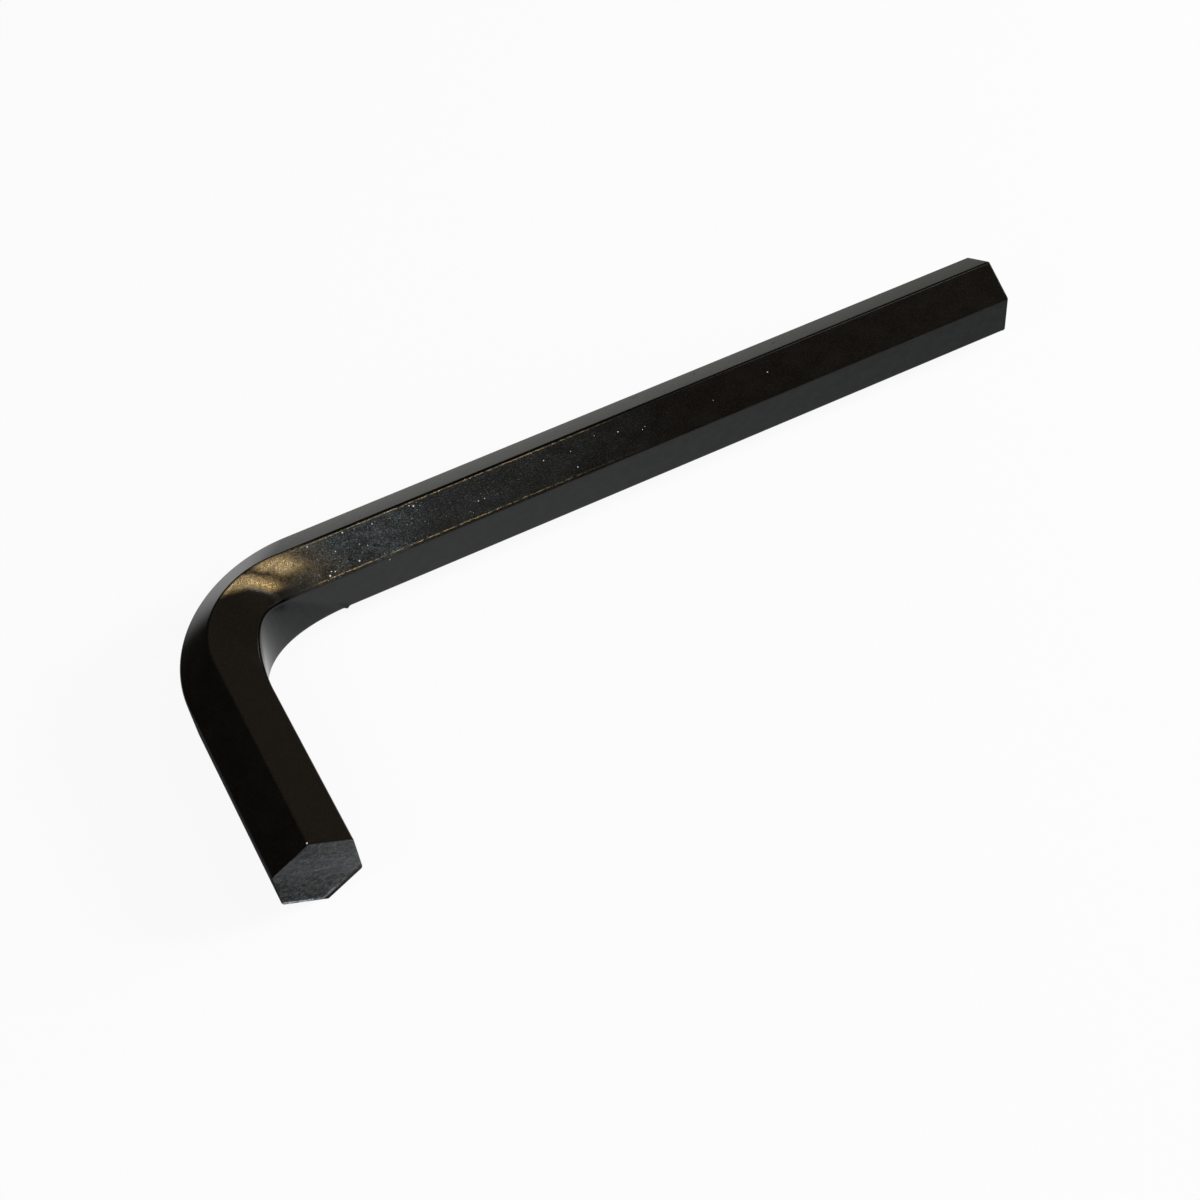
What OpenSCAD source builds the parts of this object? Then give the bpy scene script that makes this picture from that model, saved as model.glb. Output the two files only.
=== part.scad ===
// Hex key: one hexagonal bar, sheared to length, bent close to a right angle and blackened.
// It lies on its lower edge. The long arm runs along +X from the bend and the short arm along -Y,
// and the origin is on the floor, under the middle of the key's box.

/* [Bar] */
// Size across the flats, which is the size of the socket that the key turns
across_flats = 8; // [6:0.1:12]
// Radius of the six rolled edges of the bar
edge_r = 0.5; // [0.2:0.05:1]

/* [Arms] */
// Overall length of the long arm, over the outside of the bend
long_arm = 98; // [60:1:220]
// Overall length of the short arm, over the outside of the bend
short_arm = 37.5; // [32:0.5:90]

/* [Bend] */
// Angle that the bend turns through, a little past square as a pressed bend is
bend_angle = 91.5; // [80:0.5:100]
// Radius that the bar's centre line, and its top and bottom edges, take round the bend
bend_r = 9.5; // [7:0.25:14]
// How far the stretched outer flat is drawn in at the middle of the bend
outer_draw = 1; // [0:0.1:2]
// How far the squeezed inner flat is pushed in at the middle of the bend, along its upper edge
inner_push_top = 0.85; // [0:0.05:2]
// and along its lower edge
inner_push_bottom = 1.45; // [0:0.05:2]
// How far the inner flat's upper edge spreads upwards at the middle of the bend
inner_spread_top = 1.1; // [0:0.05:1.4]
// and its lower edge downwards, where less than 0 is upwards
inner_spread_bottom = -0.25; // [-0.5:0.05:1.4]
// How far the inner edges' curves lean along the bend, as a share of their length. The upper one
// leans towards the short arm and the lower one towards the long arm.
inner_lean = 0.18; // [0:0.02:0.3]

/* [Ends] */
// Height and width of the small bevel round each sheared end
end_bevel = 0.2; // [0.1:0.05:0.6]

/* [Hidden] */
steel = [0.12, 0.115, 0.11];

// Facets round each rolled edge, and rings along the bend
edge_steps = 4;
bend_steps = 36;
// Bar past each tip, which the shear takes off
spare = 2;

// Corners are numbered from the upper outer one, over the top, to the lower outer one
corners = 6;
corner_turn = 360 / corners;
half_turn = corner_turn / 2;
edge_centre_r = (across_flats / 2 - edge_r) / cos(half_turn);
half_height = edge_centre_r + edge_r;

// From the crossing of the two centre lines to each tip
long_reach = long_arm - across_flats / 2;
short_reach = short_arm - across_flats / 2;
short_way = [-cos(bend_angle), -sin(bend_angle)];
short_out = [-sin(bend_angle), cos(bend_angle)];

// Each corner line of the bar takes a curve of its own round the bend, and touches the arms this far
// from the crossing. Moving a curve's offset by one unit moves its middle by corner_gain.
bend_tan = tan(bend_angle / 2);
corner_gain = 1 / cos(bend_angle / 2) - 1;
outer_offset = bend_r + outer_draw / corner_gain;
top_offset = bend_r + inner_push_top / corner_gain;
bottom_offset = bend_r + inner_push_bottom / corner_gain;
offsets = [outer_offset, bend_r, top_offset, bottom_offset, bend_r, outer_offset];
leans = [0, 0, -inner_lean, inner_lean, 0, 0];
spreads = [0, 0, inner_spread_top, -inner_spread_bottom, 0, 0];
// Share of the way from where a curve starts to the crossing, at which a cubic follows an arc
handle = 4 / 3 * tan(bend_angle / 4) / bend_tan;

// Outline of the bar as [out, up, corner], out being away from the inside of the bend
function edge_point(corner, step) =
    let (middle = half_turn + corner_turn * corner)
    let (way = middle - half_turn + corner_turn * step / edge_steps)
    let (place = edge_centre_r * [cos(middle), sin(middle)] + edge_r * [cos(way), sin(way)])
    [place.x, place.y, corner];

outline = [for (corner = [0 : corners - 1], step = [0 : edge_steps]) edge_point(corner, step)];
sides = len(outline);

// A place this far along an arm and this far out from its centre line
function on_long_arm(reach, out) = [reach, out];
function on_short_arm(reach, out) = reach * short_way + out * short_out;

function cubic(a, b, c, d, part) =
    let (rest = 1 - part)
    rest ^ 3 * a + 3 * rest ^ 2 * part * b + 3 * rest * part ^ 2 * c + part ^ 3 * d;

// Where a point of the outline is in the bend, part being 0 at the long arm and 1 at the short arm
function in_bend(point, part) =
    let (out = point.x, reach = offsets[point.z] * bend_tan)
    let (long_start = reach * (1 + leans[point.z]), short_start = reach * (1 - leans[point.z]))
    let (long_handle = long_start - handle * (long_start + out * bend_tan))
    let (short_handle = short_start - handle * (short_start + out * bend_tan))
    let (place = cubic(
        on_long_arm(long_start, out),
        on_long_arm(long_handle, out),
        on_short_arm(short_handle, out),
        on_short_arm(short_start, out),
        part
    ))
    [place.x, place.y, point.y + spreads[point.z] * sin(180 * part) ^ 2];

// The outline at each station of the sweep, from past the long tip to past the short one
rings = [
    [for (point = outline) [each on_long_arm(long_reach + spare, point.x), point.y]],
    for (step = [0 : bend_steps]) [for (point = outline) in_bend(point, step / bend_steps)],
    [for (point = outline) [each on_short_arm(short_reach + spare, point.x), point.y]]
];
last_ring = len(rings) - 1;

// Middle of the key's box, seen from above
plan_points = [
    for (ring = [1 : last_ring - 1], point = rings[ring]) [point.x, point.y],
    for (out = [-across_flats / 2, across_flats / 2]) on_long_arm(long_reach, out),
    for (out = [-across_flats / 2, across_flats / 2]) on_short_arm(short_reach, out)
];
function middle_of(values) = (min(values) + max(values)) / 2;
box_middle = [middle_of([for (point = plan_points) point.x]), middle_of([for (point = plan_points) point.y])];

// The bar swept along six corner lines, each of which takes its own arc round the bend
module bent_bar() {
    walls = [
        for (ring = [0 : last_ring - 1], i = [0 : sides - 1])
            let (a = ring * sides + i, b = ring * sides + (i + 1) % sides)
            each [[a, b, b + sides], [a, b + sides, a + sides]]
    ];
    long_cap = [for (i = [sides - 1 : -1 : 0]) i];
    short_cap = [for (i = [0 : sides - 1]) last_ring * sides + i];
    polyhedron(points = [for (ring = rings) each ring], faces = [long_cap, each walls, short_cap]);
}

// What the shear takes off a tip that faces +X: the spare bar, and the bevel along each flat
module shear_cuts(reach) {
    block = 2 * across_flats;
    translate([reach, -block / 2, -block / 2])
        cube(block);
    for (side = [0 : corners - 1])
        rotate([corner_turn * side, 0, 0])
            translate([reach, across_flats / 2 - end_bevel, 0])
                rotate([0, 0, 45])
                    translate([0, -block / 2, -block / 2])
                        cube(block);
}

// Turns what lies along the long arm over to lie along the short arm
module on_short_side() {
    rotate([0, 0, bend_angle + 180]) mirror([0, 1, 0]) children();
}

module hex_key() {
    color(steel)
        translate([-box_middle.x, -box_middle.y, half_height])
            difference() {
                bent_bar();
                shear_cuts(long_reach);
                on_short_side() shear_cuts(short_reach);
            }
}

hex_key();
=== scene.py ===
from collections import namedtuple
from math import cos, exp, pi, radians, sin, tan

import bmesh
import bpy
from mathutils import Matrix, Vector, noise


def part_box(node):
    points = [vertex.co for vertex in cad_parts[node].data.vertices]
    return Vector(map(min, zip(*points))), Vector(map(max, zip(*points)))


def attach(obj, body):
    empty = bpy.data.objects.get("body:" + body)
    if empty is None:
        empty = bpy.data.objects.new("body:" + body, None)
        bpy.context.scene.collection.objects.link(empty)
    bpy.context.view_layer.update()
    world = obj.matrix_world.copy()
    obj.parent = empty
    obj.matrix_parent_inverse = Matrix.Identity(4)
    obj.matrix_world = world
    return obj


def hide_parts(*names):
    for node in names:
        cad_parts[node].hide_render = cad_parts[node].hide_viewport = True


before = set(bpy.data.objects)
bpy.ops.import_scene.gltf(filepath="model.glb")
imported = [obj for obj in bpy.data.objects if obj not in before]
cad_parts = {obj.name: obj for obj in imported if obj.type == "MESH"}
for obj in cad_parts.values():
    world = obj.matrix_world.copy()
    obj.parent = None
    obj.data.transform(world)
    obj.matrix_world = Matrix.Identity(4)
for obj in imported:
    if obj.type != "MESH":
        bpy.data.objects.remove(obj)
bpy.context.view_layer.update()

# A blackened hex key, lying on a pale floor and seen from above. All sizes are in millimetres
# until they reach a Blender object, and angles are in radians unless a name says degrees.
MM = 0.001

# The bar, its arms and its bend, as in the part's source, but with edges a little sharper
ACROSS_FLATS = 8
EDGE_R = 0.35
LONG_ARM = 98
SHORT_ARM = 37.5
BEND_ANGLE = radians(91.5)
BEND_R = 9.5
OUTER_DRAW = 1
INNER_PUSH_TOP = 0.85
INNER_PUSH_BOTTOM = 1.45
INNER_SPREAD_TOP = 1.1
INNER_SPREAD_BOTTOM = -0.25
INNER_LEAN = 0.18

# How finely the bar is drawn
ROUND_STEPS = 8
FLAT_STEPS = (0.04, 0.15, 0.3, 0.5, 0.7, 0.85, 0.96)
ARM_STEP = 0.25
BEND_RINGS = 150
FACE_RINGS = 14

CORNERS = 6
CORNER_TURN = 2 * pi / CORNERS
HALF_TURN = CORNER_TURN / 2
EDGE_CENTRE_R = (ACROSS_FLATS / 2 - EDGE_R) / cos(HALF_TURN)
EDGE_ARC = EDGE_R * CORNER_TURN
FLAT = 2 * EDGE_CENTRE_R * sin(HALF_TURN)
SIDE = FLAT + EDGE_ARC
PERIMETER = CORNERS * SIDE

LONG_REACH = LONG_ARM - ACROSS_FLATS / 2
SHORT_REACH = SHORT_ARM - ACROSS_FLATS / 2
SHORT_WAY = Vector((-cos(BEND_ANGLE), -sin(BEND_ANGLE)))
SHORT_OUT = Vector((-sin(BEND_ANGLE), cos(BEND_ANGLE)))

# Each corner line of the bar takes a cubic curve of its own round the bend, as in the part's
# source. HANDLE is the share of the way to the crossing of the arms that a curve's handles reach,
# so that it turns evenly.
BEND_TAN = tan(BEND_ANGLE / 2)
CORNER_GAIN = 1 / cos(BEND_ANGLE / 2) - 1
OUTER_OFFSET = BEND_R + OUTER_DRAW / CORNER_GAIN
TOP_OFFSET = BEND_R + INNER_PUSH_TOP / CORNER_GAIN
BOTTOM_OFFSET = BEND_R + INNER_PUSH_BOTTOM / CORNER_GAIN
OFFSETS = (OUTER_OFFSET, BEND_R, TOP_OFFSET, BOTTOM_OFFSET, BEND_R, OUTER_OFFSET)
LEANS = (0, 0, -INNER_LEAN, INNER_LEAN, 0, 0)
SPREADS = (0, 0, INNER_SPREAD_TOP, -INNER_SPREAD_BOTTOM, 0, 0)
HANDLE = 4 / 3 * tan(BEND_ANGLE / 4) / BEND_TAN

# The bar is measured along from the middle of the bend, plus towards the long arm's tip
HALF_BEND = BEND_R * BEND_ANGLE / 2
BEND_START = BEND_R * BEND_TAN
LONG_RIM = HALF_BEND + LONG_REACH - BEND_START
SHORT_RIM = -(HALF_BEND + SHORT_REACH - BEND_START)

# The crossing of the two centre lines, from the CAD node's box
low, high = (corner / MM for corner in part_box("hex_key"))
CROSSING = Vector((high.x - LONG_REACH, high.y - ACROSS_FLATS / 2, (low.z + high.z) / 2))


# The bar's outline
OutlinePoint = namedtuple("OutlinePoint", "out up way line next_line share around")


def bar_outline():
    """Points round the bar. out is away from the inside of the bend, way is the way a point faces,
    and around is the distance round the bar from its top edge, plus towards the inside."""
    points = []
    for corner in range(CORNERS):
        next_corner = (corner + 1) % CORNERS
        middle = HALF_TURN + CORNER_TURN * corner
        ridge = SIDE * (corner - 1)
        centre = EDGE_CENTRE_R * Vector((cos(middle), sin(middle)))
        for step in range(ROUND_STEPS + 1):
            way = middle - HALF_TURN + CORNER_TURN * step / ROUND_STEPS
            place = centre + EDGE_R * Vector((cos(way), sin(way)))
            around = ridge + EDGE_R * (way - middle)
            points.append(OutlinePoint(*place, way, corner, corner, 0, around))
        for share in FLAT_STEPS:
            flat_place = place + FLAT * share * Vector((-sin(way), cos(way)))
            around = ridge + EDGE_ARC / 2 + FLAT * share
            points.append(OutlinePoint(*flat_place, way, corner, next_corner, share, around))
    return points


OUTLINE = bar_outline()
SIDES = len(OUTLINE)


# Stations of the sweep. Each gives a place and, as its fourth number, the distance along the bar.
def on_long_arm(reach, out, up):
    """A place on the long arm, reach being from the crossing of the centre lines."""
    return Vector((reach, out, up, HALF_BEND + reach - BEND_START))


def on_short_arm(reach, out, up):
    """A place on the short arm, in the same way."""
    place = reach * SHORT_WAY + out * SHORT_OUT
    return Vector((place.x, place.y, up, -(HALF_BEND + reach - BEND_START)))


def on_line(line, point, part):
    """A point carried round the bend with one corner line, part going from 0 to 1."""
    reach = OFFSETS[line] * BEND_TAN
    long_start = reach * (1 + LEANS[line])
    short_start = reach * (1 - LEANS[line])
    up = point.up + SPREADS[line] * sin(pi * part) ** 2
    to_crossing = point.out * BEND_TAN
    ends = (
        on_long_arm(long_start, point.out, up),
        on_long_arm(long_start - HANDLE * (long_start + to_crossing), point.out, up),
        on_short_arm(short_start - HANDLE * (short_start + to_crossing), point.out, up),
        on_short_arm(short_start, point.out, up),
    )
    rest = 1 - part
    shares = (rest ** 3, 3 * rest ** 2 * part, 3 * rest * part ** 2, part ** 3)
    place = sum((share * end for share, end in zip(shares, ends)), Vector((0, 0, 0, 0)))
    place.w = ends[0].w * rest + ends[3].w * part
    return place


def in_bend(point, part):
    """A point carried round the bend, between its two corner lines."""
    this_side = on_line(point.line, point, part)
    return this_side.lerp(on_line(point.next_line, point, part), point.share)


def bend_ring(part):
    """The whole outline, carried round the bend."""
    return [in_bend(point, part) for point in OUTLINE]


def arm_rings(on_arm, reach, bend_end):
    """Rings from the bend's end out to a reach along one arm."""
    count = round((reach - BEND_START) / ARM_STEP)
    start = bend_ring(bend_end)
    end = [on_arm(reach, point.out, point.up) for point in OUTLINE]
    return [[a.lerp(b, step / count) for a, b in zip(start, end)] for step in range(1, count + 1)]


# A small burr on the long arm's lower inner edge
BURR_ALONG = 12.7
BURR_AROUND = 2 * SIDE - 0.1
BURR_HEIGHT = 0.22
BURR_R = 0.27


def with_burr(place, point):
    """A place on the bar, moved out by as much as the burr stands out there."""
    away = ((place.w - BURR_ALONG) / BURR_R) ** 2 + ((point.around - BURR_AROUND) / BURR_R) ** 2
    height = BURR_HEIGHT * exp(-away)
    return place + height * Vector((0, cos(point.way), sin(point.way), 0))


# The sheared tips. The bar's own rings end TIP_LENGTH short of the reach, and a tip's face stands
# TIP_PROUD past it. The shear rolls the side that faces ROLLED_WAY over, which widens its bevel and
# swells it. On the short tip that side stands out as a lip too.
TIP_LENGTH = 0.4
TIP_STEPS = 5
TIP_BEVEL = 0.05
TIP_PROUD = 0.15
ROLLED_WAY = radians(240)
ROLLED_POWER = 3
ROLLED_BEVEL = 0.2
ROLLED_SWELL = 0.14
LONG_TIP_LIP = 0
SHORT_TIP_LIP = 0.12
LIP_POWER = 5

# Their relief: scales along out and up, depth, and the share of the height above which they tore
COARSE_RELIEF = (0.35, 0.9)
FINE_RELIEF = (0.9, 3.2)
RELIEF_DEPTH = 0.05
RELIEF_SINK = 0.03
RELIEF_FADE_RINGS = 2
TORN_ABOVE = -0.25
LONG_TIP_SEED = 3
SHORT_TIP_SEED = 11
FINE_SEED_STEP = 7

Ring = namedtuple("Ring", "places section on_face")


def roll_over(way):
    """How far the shear rolls over the side that faces this way, from 0 to 1."""
    return max(0, cos(way - ROLLED_WAY)) ** ROLLED_POWER


def relief_noise(out, up, scales, seed):
    return noise.noise(Vector((out * scales[0], up * scales[1], seed)))


def shear_relief(out, up, seed):
    """How far the sheared face stands proud, coarse at the side that tore."""
    torn = max(0, up / ACROSS_FLATS - TORN_ABOVE)
    coarse = relief_noise(out, up, COARSE_RELIEF, seed)
    fine = relief_noise(out, up, FINE_RELIEF, seed + FINE_SEED_STEP)
    return RELIEF_DEPTH * coarse + RELIEF_DEPTH * torn * fine - RELIEF_SINK


def bevel_sections(lip):
    """Sections over a tip's bevel, as (out, up, back), back being how far short of the reach."""
    sections = []
    for step in range(TIP_STEPS + 1):
        turn = pi / 2 * step / TIP_STEPS
        section = []
        for point in OUTLINE:
            rolled = roll_over(point.way)
            width = TIP_BEVEL + ROLLED_BEVEL * rolled
            inset = width * (1 - cos(turn)) - ROLLED_SWELL * rolled * sin(turn)
            back = width * (1 - sin(turn)) - (TIP_PROUD + lip * rolled) * sin(turn)
            out = point.out - inset * cos(point.way)
            up = point.up - inset * sin(point.way)
            section.append((out, up, back))
        sections.append(section)
    return sections


def face_sections(rim, seed):
    """Sections from a tip's rim to just short of the middle of its sheared face."""
    sections = []
    for step in range(1, FACE_RINGS):
        share = 1 - step / FACE_RINGS
        fade = min(1, step / RELIEF_FADE_RINGS)
        lip_share = share ** LIP_POWER
        section = []
        for out, up, back in rim:
            relief = fade * shear_relief(out * share, up * share, seed)
            flat_back = back * lip_share - TIP_PROUD * (1 - lip_share)
            section.append((out * share, up * share, flat_back - relief))
        sections.append(section)
    return sections


def tip_rings(on_arm, reach, lip, seed):
    """Rings from the start of a tip's bevel to just short of the middle of its face."""
    sections = bevel_sections(lip)
    sections += face_sections(sections[-1], seed)
    rings = []
    for step, section in enumerate(sections):
        places = [on_arm(reach - back, out, up) for out, up, back in section]
        rings.append(Ring(places, section, on_face=step >= TIP_STEPS))
    return rings


def bar_ring(places):
    """A ring of the bar itself, with the burr on it."""
    with_burrs = [with_burr(place, point) for place, point in zip(places, OUTLINE)]
    return Ring(with_burrs, [(point.out, point.up) for point in OUTLINE], on_face=False)


def key_rings():
    """All rings from the middle of the long tip's face to the middle of the short tip's. A ring's
    section holds the (out, up) that each of its points has in the straight bar."""
    long_tip = tip_rings(on_long_arm, LONG_REACH, LONG_TIP_LIP, LONG_TIP_SEED)
    long_arm = arm_rings(on_long_arm, LONG_REACH - TIP_LENGTH, 0)
    bend = [bend_ring(step / BEND_RINGS) for step in range(BEND_RINGS + 1)]
    short_arm = arm_rings(on_short_arm, SHORT_REACH - TIP_LENGTH, 1)
    short_tip = tip_rings(on_short_arm, SHORT_REACH, SHORT_TIP_LIP, SHORT_TIP_SEED)
    bar = [bar_ring(places) for places in long_arm[::-1] + bend + short_arm]
    return long_tip[::-1] + bar + short_tip


# The key's mesh
BAR_PLACE = "bar_place"
BAR_MAP = "bar"
OXIDE_SLOT = 0
SHEARED_SLOT = 1


def build_key(materials):
    """The key as one closed mesh. Its bar_place attribute holds each point's place in the straight
    bar, and its bar map holds the distances along and around it, all in millimetres."""
    rings = key_rings()
    mesh = bmesh.new()
    bar_place = mesh.verts.layers.float_vector.new(BAR_PLACE)
    bar_map = mesh.loops.layers.uv.new(BAR_MAP)
    table = []
    for ring in rings:
        row = []
        for place, (out, up, *_) in zip(ring.places, ring.section):
            x, y, z = place.xyz + CROSSING
            vert = mesh.verts.new(Vector((x, y, max(z, 0))) * MM)
            vert[bar_place] = Vector((place.w, out, up))
            row.append(vert)
        table.append(row)
    arounds = [point.around for point in OUTLINE]

    def add_face(verts, columns, on_face):
        face = mesh.faces.new(verts)
        face.smooth = True
        face.material_index = SHEARED_SLOT if on_face else OXIDE_SLOT
        for loop, column in zip(face.loops, columns):
            around = arounds[column % SIDES] + (PERIMETER if column == SIDES else 0)
            loop[bar_map].uv = (loop.vert[bar_place].x, around)

    for row, (this, following) in enumerate(zip(table, table[1:])):
        on_face = rings[row].on_face and rings[row + 1].on_face
        for i in range(SIDES):
            j = (i + 1) % SIDES
            add_face((this[i], this[j], following[j], following[i]), (i, i + 1, i + 1, i), on_face)
    for row, step in ((table[0], -1), (table[-1], 1)):
        middle = mesh.verts.new(sum((vert.co for vert in row), Vector()) / SIDES)
        middle[bar_place] = sum((vert[bar_place] for vert in row), Vector()) / SIDES
        for i in range(SIDES):
            pair = (row[i], row[(i + 1) % SIDES])
            add_face((*pair[::step], middle), (i, i, i), True)
    bmesh.ops.recalc_face_normals(mesh, faces=mesh.faces)
    data = bpy.data.meshes.new("key")
    mesh.to_mesh(data)
    mesh.free()
    key = bpy.data.objects.new("key", data)
    bpy.context.scene.collection.objects.link(key)
    for material in materials:
        data.materials.append(material)
    return key


# How softly the cells that hold a speck are picked, and the share of a speck's radius that is full
SPECK_PICK_SOFT = 0.02
SPECK_CORE = 0.6


def with_alpha(value):
    """A colour with the fourth number that a slot takes. A socket stays as it is."""
    return (*value, 1) if isinstance(value, tuple) else value


class Shader:
    """One material's nodes, with short calls for the kinds used here."""

    def __init__(self, name):
        self.material = bpy.data.materials.new(name)
        self.material.use_nodes = True
        self.tree = self.material.node_tree
        self.surface = self.tree.nodes["Principled BSDF"]

    def add(self, kind, *inputs, **settings):
        node = self.tree.nodes.new(kind)
        for name, value in settings.items():
            setattr(node, name, value)
        for slot, value in zip(node.inputs, inputs):
            self.set(slot, value)
        return node

    def set(self, slot, value):
        if isinstance(value, bpy.types.NodeSocket):
            self.tree.links.new(value, slot)
        elif value is not None:
            slot.default_value = value

    def set_surface(self, specular_level, **values):
        """Sets inputs of the surface by name. The specular level is one number all over it."""
        self.surface.inputs["Specular IOR Level"].default_value = specular_level
        for name, value in values.items():
            self.set(self.surface.inputs[name.replace("_", " ")], with_alpha(value))

    def math(self, operation, *inputs):
        return self.add("ShaderNodeMath", *inputs, operation=operation).outputs[0]

    def plus(self, first, second):
        return self.math("ADD", first, second)

    def minus(self, first, second):
        return self.math("SUBTRACT", first, second)

    def times(self, *factors):
        product = factors[0]
        for factor in factors[1:]:
            product = self.math("MULTIPLY", product, factor)
        return product

    def most(self, *values):
        result = values[0]
        for value in values[1:]:
            result = self.math("MAXIMUM", result, value)
        return result

    def swing(self, noise_value, width):
        """A noise as a number on both sides of 0."""
        return self.times(self.minus(noise_value, 0.5), width)

    def rise(self, value, start, end, low=0, high=1):
        """Goes smoothly from low to high as value goes from start to end, which may fall."""
        if start > end:
            start, end, low, high = end, start, high, low
        node = self.add("ShaderNodeMapRange", value, start, end, low, high)
        node.interpolation_type = "SMOOTHSTEP"
        return node.outputs[0]

    def window(self, value, start, end, soft):
        """1 where value lies from start to end, fading over soft outside them."""
        return self.times(self.rise(value, start - soft, start), self.rise(value, end + soft, end))

    def mix(self, factor, first, second):
        """Mixes two colours."""
        node = self.tree.nodes.new("ShaderNodeMix")
        node.data_type = "RGBA"
        self.set(node.inputs["Factor"], factor)
        self.set(node.inputs["A"], with_alpha(first))
        self.set(node.inputs["B"], with_alpha(second))
        return node.outputs["Result"]

    def blend(self, factor, first, second):
        """Mixes two numbers."""
        return self.add("ShaderNodeMix", factor, None, first, second).outputs[0]

    def bar_place(self):
        return self.add("ShaderNodeAttribute", attribute_name=BAR_PLACE).outputs["Vector"]

    def split(self, vector):
        return self.add("ShaderNodeSeparateXYZ", vector).outputs

    def scaled(self, vector, scale):
        return self.add("ShaderNodeVectorMath", vector, scale, operation="MULTIPLY").outputs[0]

    def distance(self, vector, place):
        node = self.add("ShaderNodeVectorMath", vector, place, operation="DISTANCE")
        return node.outputs["Value"]

    def noise(self, vector, scale, detail, roughness):
        node = self.tree.nodes.new("ShaderNodeTexNoise")
        self.set(node.inputs["Vector"], self.scaled(vector, scale))
        self.set(node.inputs["Scale"], 1)
        self.set(node.inputs["Detail"], detail)
        self.set(node.inputs["Roughness"], roughness)
        return node.outputs["Fac"]

    def specks(self, vector, scale, size, share):
        """Round specks, one in a share of the cells of a grid, size being a share of the cell."""
        node = self.tree.nodes.new("ShaderNodeTexVoronoi")
        self.set(node.inputs["Vector"], self.scaled(vector, scale))
        self.set(node.inputs["Scale"], 1)
        chance = self.add("ShaderNodeSeparateColor", node.outputs["Color"]).outputs[0]
        kept = self.rise(chance, share + SPECK_PICK_SOFT, share)
        return self.times(kept, self.rise(node.outputs["Distance"], size, size * SPECK_CORE))

    def bump(self, height, depth, normal=None):
        """Height of 1 stands depth millimetres proud."""
        node = self.tree.nodes.new("ShaderNodeBump")
        self.set(node.inputs["Height"], height)
        self.set(node.inputs["Distance"], depth * MM)
        self.set(node.inputs["Normal"], normal)
        return node.outputs["Normal"]


# Values for the materials come in these forms:
#   a noise: its scales along, out and up, its detail and its roughness
#   a span for rise: where something is absent and where it is full, then the levels that it has
#     there where these aren't 0 and 1
#   a window: its start, its end and how softly it fades outside them
# Those for along and around are in millimetres on the bar, and the others are levels of a noise.

# Noises that the marks on the bar share, from coarse to fine
MOTTLE = ((0.35, 0.5, 0.5), 4, 0.6)
CLOUD = ((0.9, 1.2, 1.2), 4, 0.65)
GRAIN = ((4.2, 5, 5), 4, 0.7)
FINE_GRAIN = ((6.5, 8, 8), 3, 0.65)

# How far the two coarse ones push the outlines of the marks along the bar
MOTTLE_PUSH = 1.6
CLOUD_PUSH = 1.4

UPPER_INNER_WINDOW = (0.05, SIDE - 0.05, 0.1)


class BarFields:
    """Where a point of the bar lies, and the noises that the marks on it share."""

    def __init__(self, s):
        self.place = s.bar_place()
        self.flat_place = s.add("ShaderNodeUVMap", uv_map=BAR_MAP).outputs[0]
        self.along, self.around = s.split(self.flat_place)[:2]
        self.upper_inner = s.window(self.around, *UPPER_INNER_WINDOW)
        self.mottle = s.noise(self.place, *MOTTLE)
        self.cloud = s.noise(self.place, *CLOUD)
        self.grain = s.noise(self.place, *GRAIN)
        self.fine_grain = s.noise(self.place, *FINE_GRAIN)
        self.push = s.plus(s.swing(self.mottle, MOTTLE_PUSH), s.swing(self.cloud, CLOUD_PUSH))


# The bronze lobes, bronze in the shape of a painted highlight of a lamp's reflection: how much each
# slants, where it lies along the slant, and where it ends across the flat
FIRST_SLANT = 1.25
FIRST_START = (0.3, 2.6)
FIRST_END = (4.5, 2.6)
FIRST_ACROSS = (3.7, 2.6)
SECOND_SLANT = 0.9
SECOND_START = (4.8, 6.4)
SECOND_END = (9.6, 7.0)
SECOND_ACROSS = (2.7, 1.4)
SECOND_TOP = (0.1, 0.9, 0.6, 1)
LOBE_GRAIN = (0.38, 0.58, 0.55, 1.0)
LOBE_FINE_GRAIN = (0.38, 0.56, 0.6, 1.05)

# The glow between and beyond them
GLOW_START = (1.8, 3.4)
GLOW_END = (14, 8)
GLOW_ACROSS = (3.9, 2.2)
GLOW_GRAIN = (0.4, 0.6)
GLOW_LEVEL = 0.16

# The first lobe is painted pale at its top, a painted highlight
FIRST_PALE_HIGHLIGHT = (2.8, 0.6)
FIRST_PALE_HIGHLIGHT_LEVEL = 0.6


def bronze_lobes_and_highlights(s, bar):
    """Two bronze lobes that cross the upper inner flat at a slant, in a fainter bronze glow. The
    lobes are bronze in the shape of a painted highlight, and their pale part is a painted
    highlight.
    Gives how bare the steel is, partly as painted highlight, and how pale the bronze is on it."""
    slant = s.plus(s.minus(bar.along, s.times(bar.around, FIRST_SLANT)), bar.push)
    first = s.times(s.rise(slant, *FIRST_START), s.rise(slant, *FIRST_END))
    first = s.times(first, s.rise(bar.around, *FIRST_ACROSS))
    slant = s.plus(s.minus(bar.along, s.times(bar.around, SECOND_SLANT)), bar.push)
    second = s.times(s.rise(slant, *SECOND_START), s.rise(slant, *SECOND_END))
    second = s.times(second, s.rise(bar.around, *SECOND_ACROSS), s.rise(bar.around, *SECOND_TOP))
    glow = s.times(s.rise(slant, *GLOW_START), s.rise(bar.along, *GLOW_END))
    glow = s.times(glow, s.rise(bar.around, *GLOW_ACROSS))
    lobes = s.times(s.plus(first, second), s.rise(bar.grain, *LOBE_GRAIN))
    lobes = s.times(lobes, s.rise(bar.fine_grain, *LOBE_FINE_GRAIN))
    bronze_and_highlight = s.plus(lobes, s.times(glow, GLOW_LEVEL, s.rise(bar.grain, *GLOW_GRAIN)))
    pale_highlight = s.most(second, s.times(first, s.rise(bar.around, *FIRST_PALE_HIGHLIGHT), FIRST_PALE_HIGHLIGHT_LEVEL))
    return s.math("MINIMUM", s.times(bar.upper_inner, bronze_and_highlight), 1), pale_highlight
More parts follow.
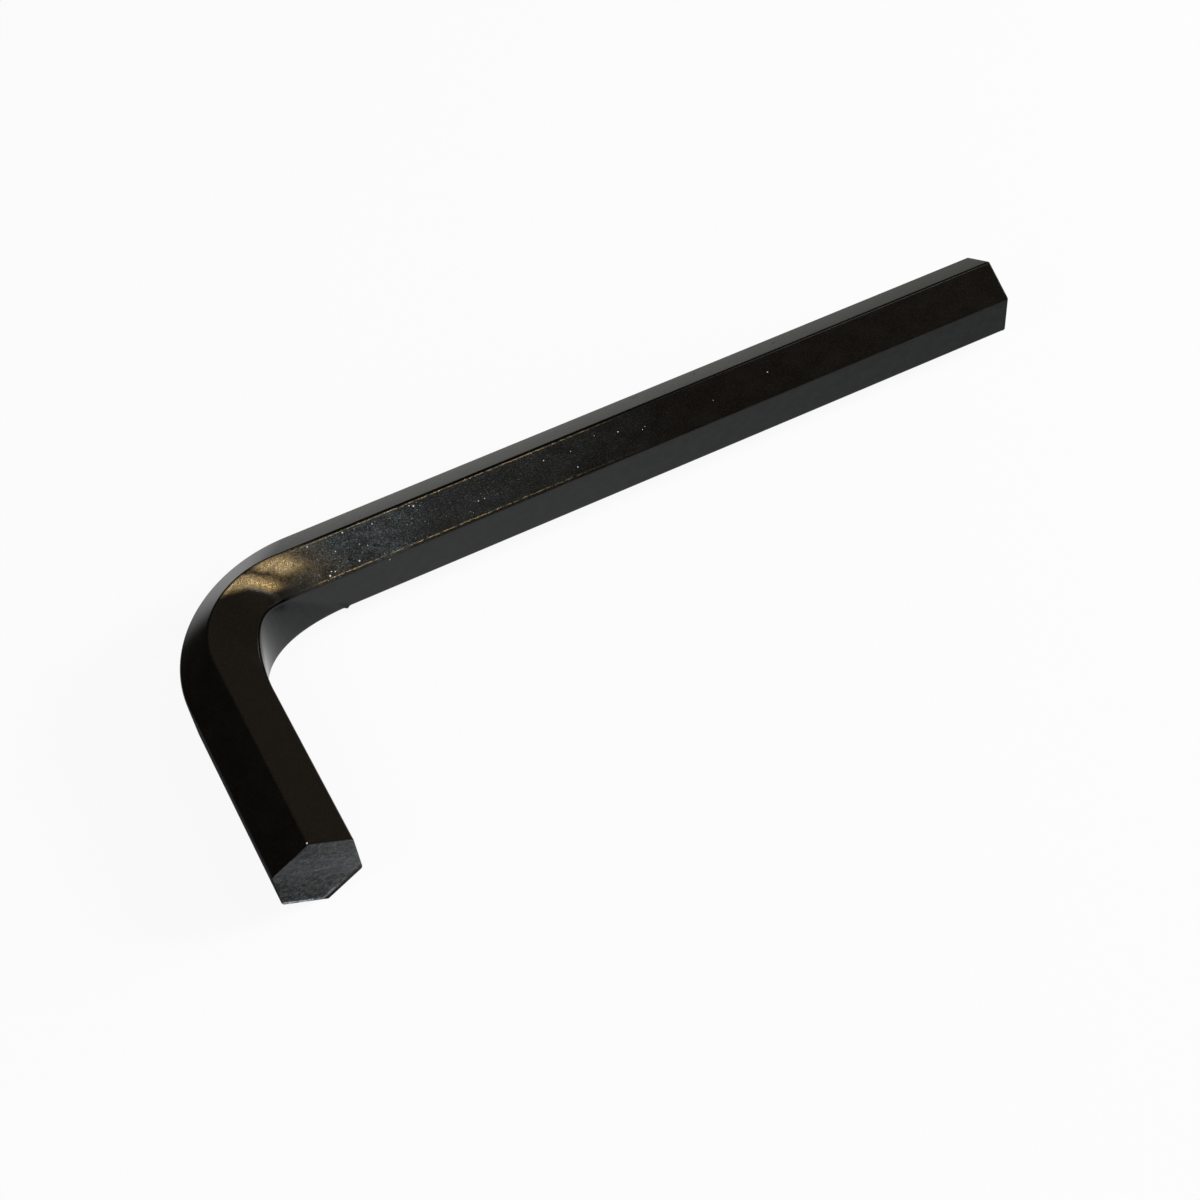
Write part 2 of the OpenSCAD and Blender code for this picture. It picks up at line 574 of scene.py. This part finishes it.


# Worn lines beside the edges of the upper inner flat, the inner one of which wavers. They are
# painted pale as a painted glint of the edges.
TOP_LINE = (0.24, 0.26, 0.06)
TOP_LINE_ALONG = (14, 36, 12)
INNER_LINE = (SIDE - 0.27, SIDE - 0.24, 0.06)
INNER_LINE_START = (8, 13)
INNER_LINE_END = (50, 20)
INNER_LINE_SWING = 0.25
LINE_NOISE = ((1.8, 4, 4), 5, 0.8)
LINE_BREAKS = (0.42, 0.6)


def worn_lines_and_glint(s, bar):
    """Broken lines where the oxide has worn off beside both edges of the upper inner flat, which
    also stand in for a painted glint of the edges.
    """
    beside_top = s.times(s.window(bar.around, *TOP_LINE), s.window(bar.along, *TOP_LINE_ALONG))
    wavering = s.plus(bar.around, s.swing(bar.grain, INNER_LINE_SWING))
    beside_inner = s.times(s.window(wavering, *INNER_LINE), s.rise(bar.along, *INNER_LINE_START))
    beside_inner = s.times(beside_inner, s.rise(bar.along, *INNER_LINE_END))
    breaks = s.rise(s.noise(bar.place, *LINE_NOISE), *LINE_BREAKS)
    return s.times(s.plus(beside_top, beside_inner), breaks)


# Painted shade: edges and rims painted dead black where their rounding would catch a lamp's glint,
# and a few dark spots
BEND_EDGE = (SIDE - 0.12, SIDE + 0.1, 0.1)
BEND_EDGE_ALONG = (-9, 6, 3)
TOP_EDGE = (-0.06, 0.12, 0.06)
TOP_EDGE_START = (9, 13)
TOP_EDGE_END = (60, 40, 0.3, 0.8)
RIM_SOFT = 0.02
RIM_LEVEL = 0.75

# Dark spots on the upper outer flat, which has minus distances around, and on the upper inner one:
# distance along and around, and radius
DARK_SPOTS = (
    (40.1, -2.7, 0.2),
    (49.4, -3.3, 0.3),
    (49.8, -3.3, 0.25),
    (56.7, -3.1, 0.25),
    (66.1, -2.5, 0.3),
    (9.2, 1.6, 0.18),
    (14.6, 3.3, 0.3),
    (14.9, 3.5, 0.25),
    (17.5, 2.9, 0.3),
    (17.8, 3.1, 0.25),
)
DARK_SPOT_CORE = 0.3
DARK_SPOT_LEVEL = 0.6


def painted_shade_and_dark_spots(s, bar):
    """Painted shade on the edge inside the bend, the top edge of the long arm and the tips' rims,
    and a few dark spots.
    """
    bend_edge = s.times(s.window(bar.around, *BEND_EDGE), s.window(bar.along, *BEND_EDGE_ALONG))
    top_edge = s.times(s.window(bar.around, *TOP_EDGE), s.rise(bar.along, *TOP_EDGE_START))
    top_edge = s.times(top_edge, s.rise(bar.along, *TOP_EDGE_END))
    short_rim = s.rise(bar.along, SHORT_RIM + RIM_SOFT, SHORT_RIM - RIM_SOFT)
    long_rim = s.rise(bar.along, LONG_RIM - RIM_SOFT, LONG_RIM + RIM_SOFT)
    black = s.most(bend_edge, top_edge, s.times(s.most(short_rim, long_rim), RIM_LEVEL))
    for along, around, radius in DARK_SPOTS:
        away = s.distance(bar.flat_place, (along, around, 0))
        black = s.most(black, s.rise(away, radius, radius * DARK_SPOT_CORE, 0, DARK_SPOT_LEVEL))
    return black


# The film on the upper inner flat and the grit in it. Beside the bronze its colour is warm.
FILM_SLANT = 0.9
FILM_START = (4, 9)
FILM_WARM_TO_COLD = (7, 13)
FILM_THINS_OUT = (25, 20, 0.3, 1)
FILM_END = (56, 26)
FILM_ACROSS = (SIDE, 2.2, 0.7, 1)
FILM_CLOUD = (0.38, 0.62, 0.7, 1.1)
FILM_MOTTLE = (0.38, 0.62, 0.72, 1.15)
FILM_GRIT = (0.47, 0.61)


def gritty_film(s, bar):
    """A gritty film that thins out along the upper inner flat. Gives how thick it is, how much of
    it is grit, and how cold its colour is."""
    start = s.minus(s.plus(bar.along, bar.push), s.times(bar.around, FILM_SLANT))
    film = s.times(bar.upper_inner, s.rise(start, *FILM_START), s.rise(bar.along, *FILM_THINS_OUT))
    film = s.times(film, s.rise(bar.along, *FILM_END), s.rise(bar.around, *FILM_ACROSS))
    film = s.times(film, s.rise(bar.cloud, *FILM_CLOUD), s.rise(bar.mottle, *FILM_MOTTLE))
    grit = s.times(film, s.rise(bar.fine_grain, *FILM_GRIT))
    return film, grit, s.rise(start, *FILM_WARM_TO_COLD)


# Fine specks strewn in the film: cells to the millimetre, size, share of the cells, and level
SPECK_CELLS = (4.5, 4.5, 4.5)
SPECK_SIZE = 0.23
SPECK_SHARE = 0.11
SPECK_FILM = (0.1, 0.4)
SPECK_LEVEL = 0.4

# White specks on the upper inner flat, and a painted glint at the top corner of the short arm's
# tip:
# distance along and around, and radius
WHITE_SPECKS_AND_GLINT = (
    (11.2, 0.42, 0.1),
    (12.1, 4.05, 0.15),
    (12.4, 3.7, 0.1),
    (12.75, 3.85, 0.09),
    (13.6, 1.95, 0.08),
    (15.0, 0.45, 0.1),
    (15.4, 3.8, 0.12),
    (16.1, 2.2, 0.07),
    (16.8, 2.65, 0.07),
    (18.1, 0.75, 0.07),
    (18.3, 4.95, 0.07),
    (22.3, 0.5, 0.08),
    (22.7, 0.7, 0.12),
    (29.0, 2.8, 0.07),
    (29.7, 2.8, 0.07),
    (37.0, 1.5, 0.08),
    (40.0, 1.7, 0.05),
    (40.0, 3.5, 0.07),
    (43.0, 1.1, 0.045),
    (45.5, 1.7, 0.08),
    (48.0, 2.5, 0.06),
    (48.4, 2.25, 0.05),
    (56.4, 2.5, 0.05),
    (63.2, 1.9, 0.06),
    # A painted glint on the top corner of the short arm's tip
    (-31.25, 0.0, 0.12),
)
WHITE_SPECK_OUTER = 0.9
WHITE_SPECK_CORE = 0.5


def white_specks_and_glint(s, bar, film):
    """Fine specks strewn in the film, and the larger ones of the list, one of which is a painted
    glint.
    """
    strewn = s.specks(bar.place, SPECK_CELLS, SPECK_SIZE, SPECK_SHARE)
    specks = s.times(strewn, s.rise(film, *SPECK_FILM), SPECK_LEVEL)
    for along, around, radius in WHITE_SPECKS_AND_GLINT:
        away = s.distance(bar.flat_place, (along, around, 0))
        speck = s.rise(away, radius * WHITE_SPECK_OUTER, radius * WHITE_SPECK_CORE)
        specks = s.most(specks, speck)
    return specks


# The oxide's own colour: mottled, with brown grain, and different on the upper inner flat up to
# the bend's end, on the upper outer flat of the long arm, and on the other flats
MOTTLE_RISE = (0.35, 0.7)
OXIDE_DARK = (0.0037, 0.0034, 0.0025)
OXIDE_LIGHT = (0.0066, 0.0060, 0.0044)
BENT_ALONG = (9, 6)
BENT_OXIDE = (0.0095, 0.0079, 0.0058)
BROWN_GRAIN_RISE = (0.48, 0.66)
BROWN_GRAIN_LEVEL = 0.5
BROWN_GRAIN = (0.022, 0.014, 0.008)
OUTER_AROUND = (0, -0.3)
OUTER_ALONG = (6, 12)
OUTER_OXIDE = (0.015, 0.0147, 0.001)
INNER_AROUND = (SIDE, SIDE + 0.3)
INNER_CLOUD_RISE = (0.38, 0.64)
INNER_DARK = (0.0001, 0.0008, 0.0012)
INNER_LIGHT = (0.0035, 0.0046, 0.0052)
INNER_GRAIN_RISE = (0.5, 0.66)
INNER_GRAIN_LEVEL = 0.5
INNER_GRAIN = (0.008, 0.0086, 0.0088)


def oxide_colour(s, bar):
    colour = s.mix(s.rise(bar.mottle, *MOTTLE_RISE), OXIDE_DARK, OXIDE_LIGHT)
    colour = s.mix(s.times(bar.upper_inner, s.rise(bar.along, *BENT_ALONG)), colour, BENT_OXIDE)
    brown_grain = s.times(s.rise(bar.fine_grain, *BROWN_GRAIN_RISE), BROWN_GRAIN_LEVEL)
    colour = s.mix(brown_grain, colour, BROWN_GRAIN)
    outer = s.times(s.rise(bar.around, *OUTER_AROUND), s.rise(bar.along, *OUTER_ALONG))
    colour = s.mix(outer, colour, OUTER_OXIDE)
    inner_colour = s.mix(s.rise(bar.cloud, *INNER_CLOUD_RISE), INNER_DARK, INNER_LIGHT)
    inner_grain = s.times(s.rise(bar.grain, *INNER_GRAIN_RISE), INNER_GRAIN_LEVEL)
    inner_colour = s.mix(inner_grain, inner_colour, INNER_GRAIN)
    return s.mix(s.rise(bar.around, *INNER_AROUND), colour, inner_colour)


# What lies on the oxide: the film, the bare steel of the lobes and lines, which is partly painted
# highlight and glint, black places, which are painted shade on edges and rims and a few dark spots,
# and specks, one of them a painted glint. A patch of the upper inner flat beside the edge inside
# the bend is brown too, and the flat is dull a little further along.
WARM_FILM = (0.031, 0.026, 0.017)
COLD_FILM = (0.0205, 0.0238, 0.0245)
WARM_GRIT = (0.125, 0.103, 0.066)
COLD_GRIT = (0.088, 0.097, 0.097)
DEEP_GOLD = (0.48, 0.325, 0.135)
# Pale gold is a painted highlight on the lobes and a painted glint on the worn lines
PALE_GOLD_HIGHLIGHT = (0.95, 0.70, 0.36)
LINE_BARE = 0.9
# The worn lines' pale gold is a painted glint
LINE_PALE_GLINT = 0.7
PATCH_AROUND = (3.3, 4.0)
PATCH_EDGE = (SIDE + 0.1, SIDE)
PATCH_ALONG = (4, 5.6, 1.2)
PATCH_LEVEL = 0.6
PATCH_BROWN = (0.014, 0.011, 0.007)
# Black for the painted shade on edges and rims, and for the dark spots
PAINTED_SHADE_AND_SPOT_BLACK = (0.001, 0.001, 0.001)
# White of the specks and of the painted glint
SPECK_AND_GLINT_WHITE = (0.8, 0.8, 0.78)

# Their roughness and relief
OXIDE_ROUGH = 0.16
FILM_ROUGHER = 0.14
DULL_AROUND = (2.4, 3.4)
DULL_EDGE = (SIDE + 0.1, SIDE - 0.1)
DULL_ALONG = (8.5, 10, 2.5)
DULL_ROUGHER = 0.4
BARE_ROUGH = 0.3
BLACK_ROUGH = 0.5
SPECK_ROUGH = 0.8
WAVES = ((0.25, 0.4, 0.4), 2, 0.5)
WAVE_DEPTH = 0.006
GRAIN_DEPTH = 0.035
GRAIN_EVERYWHERE = 0.1
GRAIN_ON_BARE = 0.6
SPECK_DEPTH = 0.03
OXIDE_SPECULAR = 0.3


def black_oxide():
    """Blackened steel: dark, with a gritty film on the upper inner flat, worn edges, and bronze
    where the bend has stretched the oxide. The bronze lobes and worn lines carry painted
    highlights, edges and rims carry painted shade, and one speck is a painted glint."""
    s = Shader("black_oxide")
    bar = BarFields(s)
    bronze_and_highlight, pale_highlight = bronze_lobes_and_highlights(s, bar)
    lines_and_glint = worn_lines_and_glint(s, bar)
    bare_and_highlight = s.most(bronze_and_highlight, s.times(lines_and_glint, LINE_BARE))
    patch = s.times(s.rise(bar.around, *PATCH_AROUND), s.rise(bar.around, *PATCH_EDGE))
    patch = s.times(patch, s.window(bar.along, *PATCH_ALONG), PATCH_LEVEL)
    black = painted_shade_and_dark_spots(s, bar)
    film, grit, cold = gritty_film(s, bar)
    specks = white_specks_and_glint(s, bar, film)

    colour = s.mix(film, oxide_colour(s, bar), s.mix(cold, WARM_FILM, COLD_FILM))
    colour = s.mix(grit, colour, s.mix(cold, WARM_GRIT, COLD_GRIT))
    gold_and_highlight = s.mix(s.most(pale_highlight, s.times(lines_and_glint, LINE_PALE_GLINT)), DEEP_GOLD, PALE_GOLD_HIGHLIGHT)
    # Bronze and bare steel, partly painted highlight and glint
    colour = s.mix(bare_and_highlight, colour, gold_and_highlight)
    colour = s.mix(patch, colour, PATCH_BROWN)
    # Painted shade on edges and rims, and the dark spots
    colour = s.mix(black, colour, PAINTED_SHADE_AND_SPOT_BLACK)
    # White specks, and a painted glint on the short tip's corner
    colour = s.mix(specks, colour, SPECK_AND_GLINT_WHITE)

    dull = s.times(s.rise(bar.around, *DULL_AROUND), s.rise(bar.around, *DULL_EDGE))
    dull = s.times(dull, s.window(bar.along, *DULL_ALONG))
    rougher = s.plus(s.times(film, FILM_ROUGHER), s.times(dull, DULL_ROUGHER))
    rough = s.blend(s.most(bare_and_highlight, patch), s.plus(OXIDE_ROUGH, rougher), BARE_ROUGH)
    rough = s.blend(black, rough, BLACK_ROUGH)
    rough = s.blend(specks, rough, SPECK_ROUGH)

    normal = s.bump(s.noise(bar.place, *WAVES), WAVE_DEPTH)
    grainy = s.plus(s.plus(film, s.times(bare_and_highlight, GRAIN_ON_BARE)), GRAIN_EVERYWHERE)
    normal = s.bump(s.times(grainy, bar.fine_grain), GRAIN_DEPTH, normal)
    normal = s.bump(specks, SPECK_DEPTH, normal)
    metal = s.most(bare_and_highlight, black, patch)
    s.set_surface(OXIDE_SPECULAR, Base_Color=colour, Metallic=metal, Roughness=rough, Normal=normal)
    return s.material


# The sheared faces. Their tear marks run along the upper inner side and are strongest in a band.
TEAR_TURN = -radians(30)
TEARS = ((0.5, 0.45, 4), 5, 0.7)
TEAR_RISE = (0.46, 0.7)
BLOTCHES = ((0.5, 0.7, 1.2), 4, 0.65)
FACE_GRAIN = ((1, 3.4, 3.4), 4, 0.75)
FACE_GRAIN_RISE = (0.40, 0.66)
FACE_DARK = (0.016, 0.017, 0.0165)
FACE_LIGHT = (0.068, 0.073, 0.074)
BAND = (0.3, 1.2, 1.4)
BAND_SWING = 3
BAND_LEVEL = 0.3
BAND_GREY = (0.066, 0.073, 0.082)
MARK_BAND = (0, 1, 0.25, 1)
MARK_GRAIN = (0.3, 0.6, 0.3, 1)
MARK_GREY = (0.115, 0.125, 0.140)

# Painted shade and painted glints on the tips: the rolled side's rim is painted dark as the shade
# of its bevel, with a painted glint line inside it, and the next side's rim is painted bright as
# its glint. Depths are millimetres in from a side.
RIM_DEPTH = (0.65, 0.3)
RIM_PAINTED_SHADE = (0.008, 0.007, 0.006)
GLINT_LINE = (0.5, 0.65, 0.15)
GLINT_LINE_END = (3, 1)
GLINT_LINE_GRAIN = (0.35, 0.55)
GLINT_LINE_LEVEL = 0.3
GLINT_SLIVER = (0.4, 0.2)
GLINT_SLIVER_START = (0.5, 1.5)
GLINT_SLIVER_GRAIN = (0.42, 0.56)
PAINTED_GLINT_STEEL = (0.55, 0.60, 0.68)
BLOTCH_ROUGH = (0.3, 0.7, 0.5, 0.65)
FACE_RELIEF = 0.04
FACE_SPECULAR = 0.35


def sheared_steel():
    """The cut faces: rough grey-black, with light tear marks across the upper inner half, painted
    shade on the rolled side's rim and painted glints beside it and on the next side's rim.
    """
    s = Shader("sheared_steel")
    place = s.bar_place()
    turned = s.add("ShaderNodeVectorRotate", place, rotation_type="X_AXIS")
    turned.inputs["Angle"].default_value = TEAR_TURN
    turned = turned.outputs[0]
    up = s.split(turned)[2]
    tears = s.noise(turned, *TEARS)
    blotches = s.noise(turned, *BLOTCHES)
    grain = s.noise(place, *FACE_GRAIN)
    band = s.window(s.plus(up, s.swing(blotches, BAND_SWING)), *BAND)
    marks = s.times(s.rise(band, *MARK_BAND), s.rise(tears, *TEAR_RISE), s.rise(grain, *MARK_GRAIN))
    colour = s.mix(s.rise(grain, *FACE_GRAIN_RISE), FACE_DARK, FACE_LIGHT)
    colour = s.mix(s.times(band, BAND_LEVEL), colour, BAND_GREY)
    colour = s.mix(marks, colour, MARK_GREY)

    out, across = s.split(place)[1:]

    def depth(way):
        """How far in from the side of the bar that faces this way."""
        reach = s.plus(s.times(out, cos(way)), s.times(across, sin(way)))
        return s.minus(ACROSS_FLATS / 2, reach)

    rolled = depth(ROLLED_WAY)
    next_side = depth(ROLLED_WAY + CORNER_TURN)
    # Painted shade on the rolled side's rim, then painted glints beside it and on the next rim
    colour = s.mix(s.rise(rolled, *RIM_DEPTH), colour, RIM_PAINTED_SHADE)
    glint_line = s.times(s.window(rolled, *GLINT_LINE), s.rise(next_side, *GLINT_LINE_END))
    glint_line = s.times(glint_line, s.rise(grain, *GLINT_LINE_GRAIN), GLINT_LINE_LEVEL)
    glint_sliver = s.times(s.rise(next_side, *GLINT_SLIVER), s.rise(grain, *GLINT_SLIVER_GRAIN))
    glint_sliver = s.times(glint_sliver, s.rise(rolled, *GLINT_SLIVER_START))
    colour = s.mix(s.most(glint_line, glint_sliver), colour, PAINTED_GLINT_STEEL)
    normal = s.bump(grain, FACE_RELIEF, s.bump(tears, FACE_RELIEF))
    rough = s.rise(blotches, *BLOTCH_ROUGH)
    s.set_surface(FACE_SPECULAR, Base_Color=colour, Roughness=rough, Normal=normal)
    return s.material


# The floor, its radius in metres. The white that reflections see in it fades away from the bend,
# and beyond the key's own width, and is shaded left of the short arm.
FLOOR_R = 2.0
FLOOR_SIDES = 96
FLOOR_COLOUR = (0.92, 0.92, 0.92)
FLOOR_ROUGH = 0.9
FLOOR_WHITE = 0.92
KEY_HALF_Y = 19
BRIGHT_X = -38
FADE_X = 85
FADE_Y = 33
SHADE_X = (-75, -46, 8)
SHADE_Y = (20, 10)
SHADE_LEVEL = 0.96


def floor_white(s):
    """How bright the floor is in reflections."""
    place = s.add("ShaderNodeNewGeometry").outputs["Position"]
    x, y = s.split(s.scaled(place, (1 / MM, 1 / MM, 0)))[:2]
    sideways = s.math("DIVIDE", s.minus(x, BRIGHT_X), FADE_X)
    beyond = s.most(s.minus(s.math("ABSOLUTE", y), KEY_HALF_Y), 0)
    beyond = s.math("DIVIDE", beyond, FADE_Y)
    fade = s.plus(s.times(sideways, sideways), s.times(beyond, beyond, beyond, beyond))
    faded = s.math("DIVIDE", 1, s.plus(1, fade))
    shade = s.times(s.window(x, *SHADE_X), s.rise(y, *SHADE_Y), SHADE_LEVEL)
    return s.times(faded, s.minus(1, shade))


def pale_floor():
    """Near white. The camera sees it mostly as plain white, and it keeps the key's shadow."""
    s = Shader("pale_floor")
    s.set_surface(0, Base_Color=FLOOR_COLOUR, Roughness=FLOOR_ROUGH)
    ray = s.add("ShaderNodeLightPath").outputs
    white_seen = s.most(ray["Is Camera Ray"], floor_white(s))
    white = s.add("ShaderNodeEmission", (1, 1, 1, 1), white_seen).outputs[0]
    reflected = s.most(ray["Is Glossy Ray"], ray["Is Transmission Ray"])
    share = s.most(s.times(ray["Is Camera Ray"], FLOOR_WHITE), reflected)
    mixed = s.add("ShaderNodeMixShader", share, s.surface.outputs[0], white)
    s.tree.links.new(mixed.outputs[0], s.tree.nodes["Material Output"].inputs["Surface"])
    return s.material


def build_floor():
    bpy.ops.mesh.primitive_circle_add(vertices=FLOOR_SIDES, radius=FLOOR_R, fill_type="NGON")
    floor = bpy.context.object
    floor.name = "floor"
    floor.data.materials.append(pale_floor())


# Light. The lamps stand LAMP_DISTANCE metres from the key.
CEILING = 0.03
LAMP_DISTANCE = 0.6

Lamp = namedtuple("Lamp", "name azimuth_degrees elevation_degrees spread_degrees radiance")

LAMPS = (
    Lamp("right_key", 105, 25, 26, 20),
    Lamp("left_fill", -110, 45, 28, 3),
    Lamp("front_fill", -160, 20, 24, 5),
    Lamp("window_right", 84, 63, 12, 6.5),
    Lamp("window_front", 160, 74, 12, 0.6),
    Lamp("low_right", 122, 4, 30, 1),
)


def build_world():
    """A dark studio ceiling. The camera sees white instead."""
    world = bpy.data.worlds.new("studio")
    world.use_nodes = True
    bpy.context.scene.world = world
    nodes, links = world.node_tree.nodes, world.node_tree.links
    ray = nodes.new("ShaderNodeLightPath")
    level = nodes.new("ShaderNodeMath")
    level.operation = "MAXIMUM"
    level.inputs[0].default_value = CEILING
    links.new(ray.outputs["Is Camera Ray"], level.inputs[1])
    links.new(level.outputs[0], nodes["Background"].inputs["Strength"])
    nodes["Background"].inputs["Color"].default_value = (1, 1, 1, 1)


def build_lamp(lamp):
    """A round soft lamp, its angles as seen from the key. Azimuth is 0 along +Y, 90 along +X."""
    light = bpy.data.lights.new(lamp.name, "AREA")
    light.shape = "DISK"
    light.size = 2 * LAMP_DISTANCE * tan(radians(lamp.spread_degrees) / 2)
    light.energy = lamp.radiance * pi * pi * (light.size / 2) ** 2
    stand = bpy.data.objects.new(lamp.name, light)
    azimuth, elevation = radians(lamp.azimuth_degrees), radians(lamp.elevation_degrees)
    way = Vector((sin(azimuth) * cos(elevation), cos(azimuth) * cos(elevation), sin(elevation)))
    stand.location = LAMP_DISTANCE * way
    stand.rotation_euler = way.to_track_quat("Z", "Y").to_euler()
    bpy.context.scene.collection.objects.link(stand)


# The camera. Its places and clip distances are in metres, its lens and sensor in millimetres.
CAMERA_PLACE = Vector((-0.05139, -0.11803, 0.15202))
CAMERA_AIM = Vector((-0.006725, 0.000372, 0))
CAMERA_ROLL_DEGREES = -7.33
CAMERA_LENS = 58.03
CAMERA_SENSOR = 36
CAMERA_CLIP_START = 0.01
CAMERA_CLIP_END = 10


def build_camera():
    data = bpy.data.cameras.new("camera")
    data.lens = CAMERA_LENS
    data.sensor_width = CAMERA_SENSOR
    data.clip_start = CAMERA_CLIP_START
    data.clip_end = CAMERA_CLIP_END
    camera = bpy.data.objects.new("camera", data)
    camera.location = CAMERA_PLACE
    upright = (CAMERA_AIM - CAMERA_PLACE).to_track_quat("-Z", "Y").to_matrix()
    roll = Matrix.Rotation(radians(CAMERA_ROLL_DEGREES), 3, "Z")
    camera.rotation_euler = (upright @ roll).to_euler()
    bpy.context.scene.collection.objects.link(camera)
    bpy.context.scene.camera = camera


build_camera()
key = build_key([black_oxide(), sheared_steel()])
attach(key, "root")
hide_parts("hex_key")
build_floor()
build_world()
for lamp in LAMPS:
    build_lamp(lamp)
bpy.context.scene.view_settings.view_transform = "Standard"
